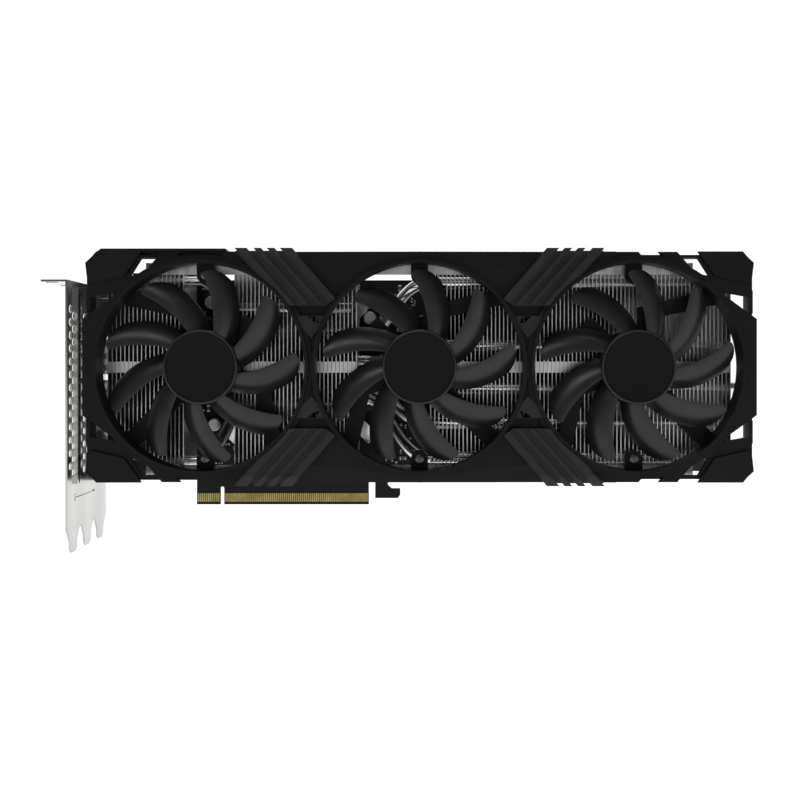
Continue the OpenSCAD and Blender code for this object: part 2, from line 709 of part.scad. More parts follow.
module screw_springs() color(alu) face() for (p = gpu_screw_places()) translate([p[0], p[1], -3.93])
    difference() {
        cylinder(r = 2.6, h = 2, $fn = 48);
        translate([0, 0, -1]) cylinder(r = 1.7, h = 6, $fn = 32);
    }

// ---- Fans ----

shaft_r = 1.5;
bearing_clearance = 0.05;
hub_back_h = 43.2;
ear_w = -42.2;

frame_turn = [-90, 0, 0];   // the first fan's frame is turned, which brings its cable to the other side

// Arm that passes beside the motor plate and widens towards the ring
module side_arm_outline() {
    polygon([[1.8, 10], [1.8, 27.3], [34, 35.3], [40, 28.9], [12.4, 22.9], [9, 10]]);
}

// Motor plate with its pointed cable tab, and the three arms that reach under the ring
module fan_arms_outline() {
    circle(17.2);
    polygon([[-19.3, 22.8], [-12, 16], [-12, 6], [-24.2, 18.2]]);
    intersection() {
        circle(lip_r - 0.2, $fn = 96);
        union() {
            side_arm_outline();
            mirror([1, 1]) side_arm_outline();
            rotate(-45) translate([0, -4.1]) square([60, 8.2]);
        }
    }
}

// Fixed part of a fan: motor plate, arms, the ring that seats it, and two screw ears
module fan_frame(i) color(black) face() translate([fan_u[i], 0, 0]) difference() {
    union() {
        slab(arm_back_h, arm_front_h) {
            rotate(frame_turn[i]) fan_arms_outline();
            for (s = [1, -1]) scale([1, s]) {
                translate([0, -ear_w - 0.2]) circle(3.9);
                translate([-3.9, -ear_w]) square([7.8, lip_r + ear_w - 0.2]);
            }
        }
        // ring that seats the frame on the back of the shroud's ring
        translate([0, 0, arm_front_h - 0.8]) difference() {
            cylinder(r = lip_r - 0.1, h = ring_back_h - arm_front_h + 0.8);
            translate([0, 0, -1]) cylinder(r = bore_r + 0.4, h = 9);
        }
        translate([0, 0, arm_back_h]) cylinder(r = 3.4, h = 10.4, $fn = 48);
    }
    translate([0, 0, arm_back_h + 1]) cylinder(r = 2.4, h = 12, $fn = 48);
    for (s = [1, -1]) translate([0, s * ear_w, arm_back_h - 1]) cylinder(r = 1.3, h = 9, $fn = 32);
}

// Sleeve bearing, pressed into the motor plate's tube; the shaft runs in it
module bearing(i) color([0.7, 0.55, 0.3]) face() translate([fan_u[i], 0, arm_back_h + 1]) difference() {
    cylinder(r = 2.4, h = 9, $fn = 48);
    translate([0, 0, -1]) cylinder(r = shaft_r + bearing_clearance, h = 12, $fn = 48);
}

module stator(i) color([0.62, 0.34, 0.16]) face() translate([fan_u[i], 0, arm_front_h + 0.6]) difference() {
    union() {
        cylinder(r = 6, h = 6.4);
        for (a = [0:60:300]) rotate(a) {
            translate([4, -1.1, 1]) cube([7.4, 2.2, 4.4]);
            translate([10.6, -3.6, 0.6]) cube([1.2, 7.2, 5.2]);
            translate([6.4, -2.2, 0.6]) cube([3.4, 4.4, 5.2]);
        }
    }
    translate([0, 0, -1]) cylinder(r = 3.45, h = 9, $fn = 48);
}

// Angle that a blade's middle has swept at radius r, its width there, and how it rolls back across its width
function outwards(r) = (r - hub_r) / (blade_r - hub_r);
function sweep(r) = 28.5 * pow(outwards(r), 0.9);
function chord(r) = 9.5 + 9 * outwards(r) - 6.3 * pow(outwards(r), 2);
function roll(s) = 1 - pow(0.5 - s, 2);
blade_root_angle = 140;
blade_top_h = 52.6;
blade_low_h = 44.5;
blade_t = 1.5;
fan_phase = [-6, 0, 1];   // angle at which each fan came to rest
span_steps = 6;
chord_steps = 4;

// Point of a blade at radius step i and chord step j, on the front (side 1) or back (side 0)
function blade_point(i, j, side) =
    let (r = i == 0 ? hub_r - 1 : hub_r + (blade_r - hub_r) * i / span_steps,
         s = j / chord_steps - 0.5,
         angle = blade_root_angle + sweep(max(r, hub_r)) + s * chord(max(r, hub_r)) / r * 180 / PI,
         h = blade_low_h + (blade_top_h - blade_low_h - blade_t) * roll(s) + side * blade_t)
    [r * cos(angle), r * sin(angle), h];

module blade() {
    row = chord_steps + 1;
    count = (span_steps + 1) * row;
    pts = [for (side = [0, 1], i = [0:span_steps], j = [0:chord_steps]) blade_point(i, j, side)];
    function id(side, i, j) = side * count + i * row + j;
    faces = concat(
        [for (i = [0:span_steps - 1], j = [0:chord_steps - 1])
            each [[id(1, i, j), id(1, i, j + 1), id(1, i + 1, j + 1)],
                  [id(1, i, j), id(1, i + 1, j + 1), id(1, i + 1, j)],
                  [id(0, i, j), id(0, i + 1, j + 1), id(0, i, j + 1)],
                  [id(0, i, j), id(0, i + 1, j), id(0, i + 1, j + 1)]]],
        [for (i = [0:span_steps - 1])
            each [[id(0, i, 0), id(1, i, 0), id(1, i + 1, 0)],
                  [id(0, i, 0), id(1, i + 1, 0), id(0, i + 1, 0)],
                  [id(0, i, chord_steps), id(1, i + 1, chord_steps), id(1, i, chord_steps)],
                  [id(0, i, chord_steps), id(0, i + 1, chord_steps), id(1, i + 1, chord_steps)]]],
        [for (j = [0:chord_steps - 1])
            each [[id(0, 0, j), id(0, 0, j + 1), id(1, 0, j + 1)],
                  [id(0, 0, j), id(1, 0, j + 1), id(1, 0, j)],
                  [id(0, span_steps, j), id(1, span_steps, j + 1), id(0, span_steps, j + 1)],
                  [id(0, span_steps, j), id(1, span_steps, j), id(1, span_steps, j + 1)]]]);
    polyhedron(pts, faces, convexity = 8);
}

// Turning part of a fan: cup-shaped hub, blades and steel shaft
module fan_rotor(i) color(soft_black) face() translate([fan_u[i], 0, 0]) rotate(fan_phase[i]) {
    difference() {
        union() {
            translate([0, 0, hub_back_h]) cylinder(r = hub_r, h = front_h - 0.5 - hub_back_h);
            for (k = [0:blade_count - 1]) rotate(k * 360 / blade_count) blade();
        }
        translate([0, 0, hub_back_h - 1]) cylinder(r = hub_r - 1.3, h = 9.4);
        translate([0, 0, front_h - 1.5]) cylinder(r = hub_r - 0.9, h = 3);
    }
    translate([0, 0, arm_back_h + 1.4]) cylinder(r = shaft_r, h = 11.4, $fn = 48);
}

module rotor_magnet(i) color([0.3, 0.3, 0.32]) face() translate([fan_u[i], 0, hub_back_h + 0.2])
    difference() {
        cylinder(r = hub_r - 1.35, h = 7.6);
        translate([0, 0, -1]) cylinder(r = hub_r - 3.2, h = 10);
    }

module hub_cap(i) color([0.06, 0.06, 0.06]) face() translate([fan_u[i], 0, front_h - 1.5])
    cylinder(r = hub_r - 0.95, h = 1);

module fan_screws() color(dark_steel) face() for (u = fan_u, s = [1, -1]) translate([u, s * ear_w, 0]) {
    translate([0, 0, arm_front_h]) cylinder(r = 2.3, h = 0.9, $fn = 48);
    translate([0, 0, arm_back_h]) cylinder(r = 1.25, h = arm_front_h - arm_back_h + eps, $fn = 32);
}

shroud_frame();
ridge_trim();
corner_covers();
top_plate();
shroud_screws();
fin_stack_left();
fin_stack_middle();
fin_stack_right();
heatsink_rails();
heat_pipes();
cold_plate();
base_plate_left();
base_plate_right();
thermal_pads();
circuit_board();
edge_contacts();
gpu_package();
gpu_die();
memory_chips();
chokes();
capacitors();
power_stages();
fan_headers();
power_connector();
power_pins();
slot_bracket();
displayport_sockets();
hdmi_socket();
port_tongues();
bracket_screws();
backplate();
backplate_screws();
retention_brace();
spring_screws();
screw_springs();
fan_screws();
for (i = [0:2]) {
    n = str(i + 1);
    fan_frame(i);
    stator(i);
    bearing(i);
    fan_rotor(i);
    rotor_magnet(i);
    hub_cap(i);
}
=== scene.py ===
import json
import math
import random

import bmesh
import bpy
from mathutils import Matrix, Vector


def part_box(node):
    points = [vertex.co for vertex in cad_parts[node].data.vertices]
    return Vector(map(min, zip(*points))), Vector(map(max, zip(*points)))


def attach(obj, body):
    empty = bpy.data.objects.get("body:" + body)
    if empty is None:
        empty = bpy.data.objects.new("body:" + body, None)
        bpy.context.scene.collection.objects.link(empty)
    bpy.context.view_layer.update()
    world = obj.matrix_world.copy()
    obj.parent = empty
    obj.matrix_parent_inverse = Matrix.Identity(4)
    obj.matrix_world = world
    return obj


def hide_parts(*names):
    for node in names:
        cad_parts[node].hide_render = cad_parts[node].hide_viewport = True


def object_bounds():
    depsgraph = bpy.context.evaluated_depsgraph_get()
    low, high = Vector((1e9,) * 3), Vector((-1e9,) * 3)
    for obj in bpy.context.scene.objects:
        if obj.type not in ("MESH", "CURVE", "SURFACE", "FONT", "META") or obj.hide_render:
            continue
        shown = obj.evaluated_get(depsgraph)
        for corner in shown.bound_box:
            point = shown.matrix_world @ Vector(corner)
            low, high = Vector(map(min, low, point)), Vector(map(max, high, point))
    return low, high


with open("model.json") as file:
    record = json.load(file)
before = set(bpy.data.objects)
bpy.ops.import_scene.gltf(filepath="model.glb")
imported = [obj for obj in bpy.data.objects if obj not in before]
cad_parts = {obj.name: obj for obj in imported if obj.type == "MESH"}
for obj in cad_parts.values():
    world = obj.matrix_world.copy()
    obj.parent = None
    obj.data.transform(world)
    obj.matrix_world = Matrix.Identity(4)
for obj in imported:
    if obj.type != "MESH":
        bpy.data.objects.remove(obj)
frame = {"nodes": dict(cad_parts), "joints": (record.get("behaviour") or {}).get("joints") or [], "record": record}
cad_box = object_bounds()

# The card in its own face frame: u along the card from the middle fan, w up from it, h out of the board.
MM = 0.001
QUARTER_TURN = math.pi / 2
scene = bpy.context.scene
nodes = frame["nodes"]
fan_joints = sorted(frame["joints"], key=lambda j: j["pos_m"][0])
fan_axes = [(j["pos_m"][0], j["pos_m"][2]) for j in fan_joints]
middle_x, middle_z = fan_axes[1]
random.seed(7)


def at(u, w, h):
    """A point of the face frame, in millimetres, as a point of the row frame, in metres."""
    return Vector((middle_x + u * MM, -h * MM, middle_z + w * MM))


def quarter_arc(step_deg):
    """Angles from 0 to a quarter turn, in radians."""
    return [math.radians(degrees) for degrees in range(0, 91, step_deg)]


def levels(node):
    """A CAD node's box in the face frame: lowest and highest u, w and h, in millimetres."""
    low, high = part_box(node)
    return ((low.x - middle_x) / MM, (high.x - middle_x) / MM,
            (low.z - middle_z) / MM, (high.z - middle_z) / MM, -high.y / MM, -low.y / MM)


# ---------------------------------------------------------------- materials

class Shade:
    """One procedural material: a Principled shader and short calls that wire textures into it."""

    def __init__(self, name, colour, roughness, metallic=0.0, specular=0.5):
        self.material = bpy.data.materials.new(name)
        self.material.use_nodes = True
        self.tree = self.material.node_tree
        self.shader = self.tree.nodes["Principled BSDF"]
        self.set("Base Color", (*colour, 1))
        self.set("Roughness", roughness)
        self.set("Metallic", metallic)
        self.set("Specular IOR Level", specular)
        self.where = self.node("ShaderNodeTexCoord").outputs["Object"]
        self.height = None

    def node(self, kind, **values):
        made = self.tree.nodes.new(kind)
        for key, value in values.items():
            setattr(made, key, value)
        return made

    def set(self, socket, value):
        self.shader.inputs[socket].default_value = value

    def link(self, source, target):
        self.tree.links.new(source, target)

    def stretched(self, scale):
        """The object's coordinates, scaled along each axis."""
        mapping = self.node("ShaderNodeMapping")
        mapping.inputs["Scale"].default_value = scale
        self.link(self.where, mapping.inputs["Vector"])
        return mapping.outputs["Vector"]

    def noise(self, scale, detail, stretch=(1, 1, 1), roughness=0.5):
        texture = self.node("ShaderNodeTexNoise")
        texture.inputs["Scale"].default_value = scale
        texture.inputs["Detail"].default_value = detail
        texture.inputs["Roughness"].default_value = roughness
        self.link(self.stretched(stretch), texture.inputs["Vector"])
        return texture.outputs["Fac"]

    def ramp(self, source, low, high, start=0.3, end=0.7):
        """Maps a texture's value to a range."""
        span = self.node("ShaderNodeMapRange")
        for socket, value in zip(("From Min", "From Max", "To Min", "To Max"), (start, end, low, high)):
            span.inputs[socket].default_value = value
        self.link(source, span.inputs["Value"])
        return span.outputs["Result"]

    def tint(self, source, dark, light, start=0.3, end=0.7):
        """Colours the surface between two tones by a texture's value."""
        blend = self.node("ShaderNodeMix", data_type="RGBA")
        self.link(self.ramp(source, 0, 1, start, end), blend.inputs["Factor"])
        blend.inputs["A"].default_value = (*dark, 1)
        blend.inputs["B"].default_value = (*light, 1)
        self.link(blend.outputs["Result"], self.shader.inputs["Base Color"])

    def gloss(self, source, low, high, start=0.3, end=0.7):
        """Varies the roughness between two values by a texture's value."""
        self.link(self.ramp(source, low, high, start, end), self.shader.inputs["Roughness"])

    def bump(self, source, distance, strength):
        """Raises the surface by a texture's value, over any bump before; the distance is in metres."""
        made = self.node("ShaderNodeBump")
        made.inputs["Distance"].default_value = distance
        made.inputs["Strength"].default_value = strength
        self.link(source, made.inputs["Height"])
        if self.height is not None:
            self.link(self.height, made.inputs["Normal"])
        self.height = made.outputs["Normal"]
        self.link(self.height, self.shader.inputs["Normal"])


def moulded_plastic(name, tone, roughness, grain=1400, depth=0.00003, specular=0.3):
    """Black moulded plastic: a fine spark-eroded grain, and faint larger patches of tone and gloss."""
    s = Shade(name, (tone, tone, tone * 1.03), roughness, specular=specular)
    patches = s.noise(35, 5)
    s.tint(patches, (tone * 0.82,) * 3, (tone * 1.2, tone * 1.2, tone * 1.25))
    s.gloss(s.noise(160, 6), roughness - 0.05, roughness + 0.07)
    s.bump(s.noise(grain, 3), depth, 0.6)
    return s.material


def brushed_metal(name, colour, roughness, stretch, scale=60):
    """Metal with a fine grain, drawn out into lines where the stretch is uneven."""
    s = Shade(name, colour, roughness, metallic=1.0)
    lines = s.noise(scale, 8, stretch, 0.65)
    s.tint(lines, tuple(c * 0.82 for c in colour), tuple(min(1, c * 1.1) for c in colour))
    s.gloss(lines, roughness * 0.8, roughness * 1.3)
    s.bump(lines, 0.000015, 0.5)
    return s.material


def plated_metal(name, colour, roughness):
    """Nickel plate: slightly wavy, with faint handling marks."""
    s = Shade(name, colour, roughness, metallic=1.0)
    s.tint(s.noise(90, 5), tuple(c * 0.88 for c in colour), colour)
    s.gloss(s.noise(420, 7), roughness * 0.7, roughness * 1.6)
    s.bump(s.noise(140, 3), 0.00008, 0.35)
    return s.material


def solder_mask(name):
    """Black circuit board: tracks and copper areas that stand slightly proud under the mask."""
    s = Shade(name, (0.006, 0.0065, 0.007), 0.42, specular=0.2)
    tracks = s.node("ShaderNodeTexBrick")
    tracks.inputs["Scale"].default_value = 160
    tracks.inputs["Mortar Size"].default_value = 0.12
    tracks.inputs["Color1"].default_value = (1, 1, 1, 1)
    tracks.inputs["Color2"].default_value = (0.6, 0.6, 0.6, 1)
    tracks.inputs["Mortar"].default_value = (0, 0, 0, 1)
    turned = s.node("ShaderNodeMapping")
    turned.inputs["Rotation"].default_value = (QUARTER_TURN, 0, 0)
    s.link(s.where, turned.inputs["Vector"])
    s.link(turned.outputs["Vector"], tracks.inputs["Vector"])
    s.tint(tracks.outputs["Color"], (0.004, 0.0045, 0.005), (0.008, 0.0085, 0.009), 0, 1)
    s.bump(tracks.outputs["Color"], 0.00004, 0.7)
    s.bump(s.noise(900, 3), 0.00001, 0.4)
    return s.material


def gold_plate(name):
    """Contact gold, drawn out along the fingers."""
    s = Shade(name, (0.42, 0.34, 0.13), 0.36, metallic=1.0)
    s.tint(s.noise(200, 4), (0.32, 0.26, 0.09), (0.48, 0.39, 0.15))
    s.gloss(s.noise(500, 6, (1, 1, 0.1)), 0.25, 0.42)
    s.bump(s.noise(700, 4, (1, 1, 0.05)), 0.000008, 0.5)
    return s.material


def moulded_package(name):
    """Chip epoxy: matt, faintly speckled."""
    s = Shade(name, (0.02, 0.02, 0.022), 0.5)
    s.tint(s.noise(2600, 2), (0.014, 0.014, 0.015), (0.03, 0.03, 0.032))
    s.gloss(s.noise(300, 4), 0.42, 0.6)
    s.bump(s.noise(3000, 2), 0.00001, 0.6)
    return s.material


def soft_pad(name):
    """Grey silicone pad with a rough skin."""
    s = Shade(name, (0.25, 0.27, 0.3), 0.8)
    s.tint(s.noise(600, 5), (0.2, 0.22, 0.25), (0.32, 0.34, 0.37))
    s.bump(s.noise(900, 5), 0.00008, 0.8)
    return s.material


def silicon(name):
    """Bare die: a dark mirror."""
    s = Shade(name, (0.10, 0.11, 0.13), 0.08, metallic=0.9)
    s.tint(s.noise(40, 2), (0.08, 0.09, 0.12), (0.15, 0.15, 0.16))
    s.bump(s.noise(60, 2), 0.00001, 0.3)
    return s.material


def winding(name):
    """Enamelled wire, wound round each tooth of the stator."""
    s = Shade(name, (0.4, 0.14, 0.05), 0.35, metallic=0.8)
    turns = s.node("ShaderNodeTexWave", wave_type="BANDS", bands_direction="Y")
    turns.inputs["Scale"].default_value = 900
    turns.inputs["Distortion"].default_value = 0.6
    s.link(s.where, turns.inputs["Vector"])
    s.tint(turns.outputs["Fac"], (0.22, 0.07, 0.02), (0.5, 0.2, 0.07))
    s.bump(turns.outputs["Fac"], 0.00008, 0.8)
    return s.material


materials = {
    "shroud_plastic": moulded_plastic("shroud_plastic", 0.0065, 0.46, specular=0.16),
    "trim_plastic": moulded_plastic("trim_plastic", 0.022, 0.42, grain=1100, specular=0.22),
    "blade_plastic": moulded_plastic("blade_plastic", 0.013, 0.34, grain=500, depth=0.00001,
                                     specular=0.45),
    "cap_plastic": moulded_plastic("cap_plastic", 0.004, 0.5, grain=900, depth=0.00004,
                                   specular=0.15),
    "fin_aluminium": brushed_metal("fin_aluminium", (0.72, 0.72, 0.73), 0.34, (6, 6, 0.15)),
    "plated_copper": plated_metal("plated_copper", (0.80, 0.78, 0.75), 0.14),
    "dark_aluminium": brushed_metal("dark_aluminium", (0.035, 0.035, 0.037), 0.42, (0.1, 6, 6)),
    "thermal_pad": soft_pad("thermal_pad"),
    "board_laminate": solder_mask("board_laminate"),
    "contact_gold": gold_plate("contact_gold"),
    "chip_package": moulded_package("chip_package"),
    "silicon": silicon("silicon"),
    "capacitor_can": brushed_metal("capacitor_can", (0.5, 0.5, 0.51), 0.3, (1, 1, 1), 300),
    "header_plastic": moulded_plastic("header_plastic", 0.55, 0.4),
    "socket_plastic": moulded_plastic("socket_plastic", 0.012, 0.45),
    "bracket_steel": brushed_metal("bracket_steel", (0.56, 0.555, 0.54), 0.17, (1, 1, 0.05), 80),
    "black_steel": brushed_metal("black_steel", (0.13, 0.13, 0.135), 0.3, (1, 1, 1), 300),
    "spring_steel": brushed_metal("spring_steel", (0.6, 0.6, 0.6), 0.25, (1, 1, 1), 200),
    "bronze": brushed_metal("bronze", (0.5, 0.33, 0.15), 0.4, (1, 1, 1), 500),
    "winding_copper": winding("winding_copper"),
    "magnet": moulded_package("magnet"),
}
slot_of = {part["node"]: part["material_slot"] for part in frame["record"]["subparts"]}


def dress(obj, slot):
    """Gives an object its slot's material alone."""
    obj.data.materials.clear()
    obj.data.materials.append(materials[slot])


def soften(obj, width):
    """Rounds an object's sharp edges a little, so that they catch the light."""
    bevel = obj.modifiers.new("edge", "BEVEL")
    bevel.width = width * MM
    bevel.segments = 2
    bevel.limit_method = "ANGLE"
    bevel.angle_limit = math.radians(35)


def smooth(obj, angle):
    """Shades an object smooth, but for edges sharper than the angle."""
    obj.data.shade_smooth()
    obj.data.set_sharp_from_angle(angle=math.radians(angle))


def in_scene(name, data):
    obj = bpy.data.objects.new(name, data)
    scene.collection.objects.link(obj)
    return obj


def new_piece(name, mesh, body, slot, *replaced):
    """A visible piece that rides a body, wears a slot's material and stands in for CAD nodes."""
    obj = in_scene(name, mesh)
    dress(obj, slot)
    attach(obj, body)
    if replaced:
        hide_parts(*replaced)
    return obj


def mesh_from(name, bm):
    """Turns a working mesh, which it uses up, into a named one with its faces outwards."""
    bmesh.ops.recalc_face_normals(bm, faces=bm.faces)
    mesh = bpy.data.meshes.new(name)
    bm.to_mesh(mesh)
    bm.free()
    return mesh


# ---------------------------------------------------------------- CAD nodes that stay

# width of the softened edges, in millimetres
edge_width = {
    "shroud_frame": 0.35, "ridge_trim": 0.3, "corner_covers": 0.4, "top_plate": 0.3, "slot_bracket": 0.18,
    "circuit_board": 0.12, "backplate": 0.35, "memory_chips": 0.1, "chokes": 0.35, "gpu_package": 0.1,
    "power_connector": 0.25, "fan_headers": 0.15, "base_plate_left": 0.3, "base_plate_right": 0.3,
    "cold_plate": 0.3, "retention_brace": 0.2, "displayport_sockets": 0.15, "hdmi_socket": 0.15,
    "fan_frame_1": 0.35, "fan_frame_2": 0.35, "fan_frame_3": 0.35, "power_pins": 0.1, "port_tongues": 0.15,
    "heatsink_rails": 0.12, "bracket_screws": 0.2, "backplate_screws": 0.2, "fan_screws": 0.2,
    "spring_screws": 0.2, "hub_cap_1": 0.3, "hub_cap_2": 0.3, "hub_cap_3": 0.3, "thermal_pads": 0.2,
    "rotor_magnet_1": 0.2, "rotor_magnet_2": 0.2, "rotor_magnet_3": 0.2,
}
for name, obj in nodes.items():
    dress(obj, slot_of[name])
    if name in edge_width:
        soften(obj, edge_width[name])


# ---------------------------------------------------------------- meshes

def add_box(bm, low, high):
    """A box between two corners (u, w, h)."""
    corners = [bm.verts.new(at(*(high[i] if bits >> i & 1 else low[i] for i in range(3))))
               for bits in range(8)]
    for face in ((0, 1, 3, 2), (4, 6, 7, 5), (0, 4, 5, 1), (2, 3, 7, 6), (0, 2, 6, 4), (1, 5, 7, 3)):
        bm.faces.new([corners[i] for i in face])


def add_prism(bm, low, high):
    """A closed solid between two outlines with as many points."""
    low, high = [[bm.verts.new(point) for point in outline] for outline in (low, high)]
    bm.faces.new(low[::-1])
    bm.faces.new(high)
    for a in range(len(low)):
        b = (a + 1) % len(low)
        bm.faces.new((low[a], low[b], high[b], high[a]))


def add_lathe(bm, centre, profile, steps):
    """A closed shape turned about an axis through the board; its profile, of (r, h), ends on the axis."""
    u, w = centre
    rings = []
    for r, h in profile:
        if r == 0:
            rings.append([bm.verts.new(at(u, w, h))])
        else:
            turns = (2 * math.pi * k / steps for k in range(steps))
            rings.append([bm.verts.new(at(u + r * math.cos(a), w + r * math.sin(a), h))
                          for a in turns])
    for inner, outer in zip(rings, rings[1:]):
        for k in range(steps):
            n = (k + 1) % steps
            if len(inner) == 1:
                bm.faces.new((inner[0], outer[k], outer[n]))
            elif len(outer) == 1:
                bm.faces.new((inner[k], outer[0], inner[n]))
            else:
                bm.faces.new((inner[k], outer[k], outer[n], inner[n]))


def add_shell(bm, points):
    """A closed shell from a grid of (front, back) pairs of points."""
    front = [[bm.verts.new(pair[0]) for pair in row] for row in points]
    back = [[bm.verts.new(pair[1]) for pair in row] for row in points]
    rows, columns = len(points), len(points[0])
    for i in range(rows - 1):
        for j in range(columns - 1):
            bm.faces.new((front[i][j], front[i][j + 1], front[i + 1][j + 1], front[i + 1][j]))
            bm.faces.new((back[i][j], back[i + 1][j], back[i + 1][j + 1], back[i][j + 1]))
    rim = [(0, j) for j in range(columns)]
    rim += [(i, columns - 1) for i in range(1, rows)]
    rim += [(rows - 1, j) for j in range(columns - 2, -1, -1)]
    rim += [(i, 0) for i in range(rows - 2, 0, -1)]
    for (a, b), (c, d) in zip(rim, rim[1:] + rim[:1]):
        bm.faces.new((front[a][b], back[a][b], back[c][d], front[c][d]))


# no tube runs along this direction, which sets how the tubes' rings are turned
TUBE_AIM = Vector((0.05, -1, 0.2))


def add_tube(bm, points, radii, sides=20):
    """A round tube along points, with a radius for each."""
    rings = []
    for i, point in enumerate(points):
        heading = (points[min(i + 1, len(points) - 1)] - points[max(i - 1, 0)]).normalized()
        across = heading.cross(TUBE_AIM).normalized()
        up = heading.cross(across)
        turns = (2 * math.pi * k / sides for k in range(sides))
        rings.append([bm.verts.new(point + radii[i] * (math.cos(a) * across + math.sin(a) * up))
                      for a in turns])
    for first, second in zip(rings, rings[1:]):
        for k in range(sides):
            n = (k + 1) % sides
            bm.faces.new((first[k], second[k], second[n], first[n]))
    bm.faces.new(rings[0])
    bm.faces.new(rings[-1][::-1])


# ---------------------------------------------------------------- fans

hub_r = 16.7
hub_back_h, front_h = 43.2, 54.9
hub_wall = 1.3
hub_inside_h = 51.6
hub_rounding = 0.7
disc_seat_h = front_h - 1.5
shaft_r = 1.5
shaft_foot_h = 41.0
shaft_chamfer = 0.2

blade_r = 43.9
blade_count = 9
blade_low_h, blade_top_h = 44.5, 52.6
blade_lip = 1.6
blade_root_r = hub_r - 0.7
blade_start_deg, blade_sweep_deg = 140, 28.5
# how far each fan is turned at rest, in degrees
fan_phase = (-6, 0, 1)


def outwards(r):
    """Fraction of a blade's span that a radius is at."""
    return max(0.0, (r - hub_r) / (blade_r - hub_r))


def blade_pair(along, across, turn):
    """Front and back point of a blade, at fractions along its span and across its width (-0.5 to 0.5)."""
    corner_drop, corner_power = (2.0, 3) if across > 0 else (3.4, 2.4)
    tip_r = blade_r - corner_drop * abs(2 * across) ** corner_power
    r = blade_root_r + (tip_r - blade_root_r) * along
    t = outwards(r)
    # widest at seven tenths of the span
    chord = 9.5 + 9 * t - 6.3 * t ** 2
    sweep = math.radians(blade_start_deg + blade_sweep_deg * t ** 0.9 + turn)
    angle = sweep + across * chord / max(r, hub_r)
    thick = 0.45 + 1.15 * math.sqrt(max(0.0, 1 - (2 * across) ** 2))
    rolled = 1 - (0.5 - across) ** 2.3
    h = blade_low_h + blade_lip + (blade_top_h - blade_low_h - blade_lip) * rolled
    u, w = r * math.cos(angle), r * math.sin(angle)
    return (u, w, h), (u, w, h - thick)


def fan_u(i):
    return (fan_axes[i][0] - middle_x) / MM


def fan_rotor(i):
    """Hub, nine blades and shaft of one fan."""
    u = fan_u(i)
    bm = bmesh.new()
    hub = [(0, shaft_foot_h), (shaft_r - shaft_chamfer, shaft_foot_h),
           (shaft_r, shaft_foot_h + shaft_chamfer), (shaft_r, hub_inside_h),
           (hub_r - hub_wall, hub_inside_h), (hub_r - hub_wall, hub_back_h), (hub_r, hub_back_h)]
    hub += [(hub_r - hub_rounding + hub_rounding * math.cos(a),
             front_h - 1.2 + hub_rounding * math.sin(a)) for a in quarter_arc(15)]
    hub += [(hub_r - 0.95, front_h - 0.55), (hub_r - 1.05, disc_seat_h), (0, disc_seat_h)]
    add_lathe(bm, (u, 0), hub, 96)
    spans, widths = 18, 14
    for k in range(blade_count):
        turn = k * 360 / blade_count + fan_phase[i]
        grid = []
        for a in range(spans + 1):
            row = []
            for c in range(widths + 1):
                across = 0.5 * math.sin(math.pi * (c / widths - 0.5))
                pair = blade_pair(a / spans, across, turn)
                row.append([at(u + p[0], p[1], p[2]) for p in pair])
            grid.append(row)
        add_shell(bm, grid)
    name = f"fan_blades_{i + 1}"
    piece = new_piece(name, mesh_from(name, bm), f"fan_{i + 1}", "blade_plastic", f"fan_rotor_{i + 1}")
    smooth(piece, 40)


def hub_disc(i):
    """Disc let into the hub, with a plain raised ring and a shallow dish."""
    r = hub_r - 1.1
    top = front_h - 0.5
    profile = [(0, disc_seat_h), (r, disc_seat_h), (r, top - 0.12), (r - 0.12, top), (r - 0.5, top),
               (r - 0.62, top - 0.15), (r - 0.9, top - 0.18), (0, top - 0.18)]
    bm = bmesh.new()
    add_lathe(bm, (fan_u(i), 0), profile, 96)
    name = f"hub_disc_{i + 1}"
    piece = new_piece(name, mesh_from(name, bm), f"fan_{i + 1}", "cap_plastic", f"hub_cap_{i + 1}")
    smooth(piece, 25)


for i in range(len(fan_axes)):
    fan_rotor(i)
    hub_disc(i)


# ---------------------------------------------------------------- heatsink

fin_pitch = 1.87
fin_t = 0.4
tab_gap = 0.14
base_tab = 6
edge_tab_t, edge_tab = 0.35, 9
middle_tab_low, middle_tab_high = -2.6, 2.5
rail_low_h = 34.4
rail_w = 5.4
rail_comb_t, rail_comb_proud = 0.6, 0.15
# past this u the fins are shorter by the inset at both edges
corner_u, corner_inset = 126.5, 7.6


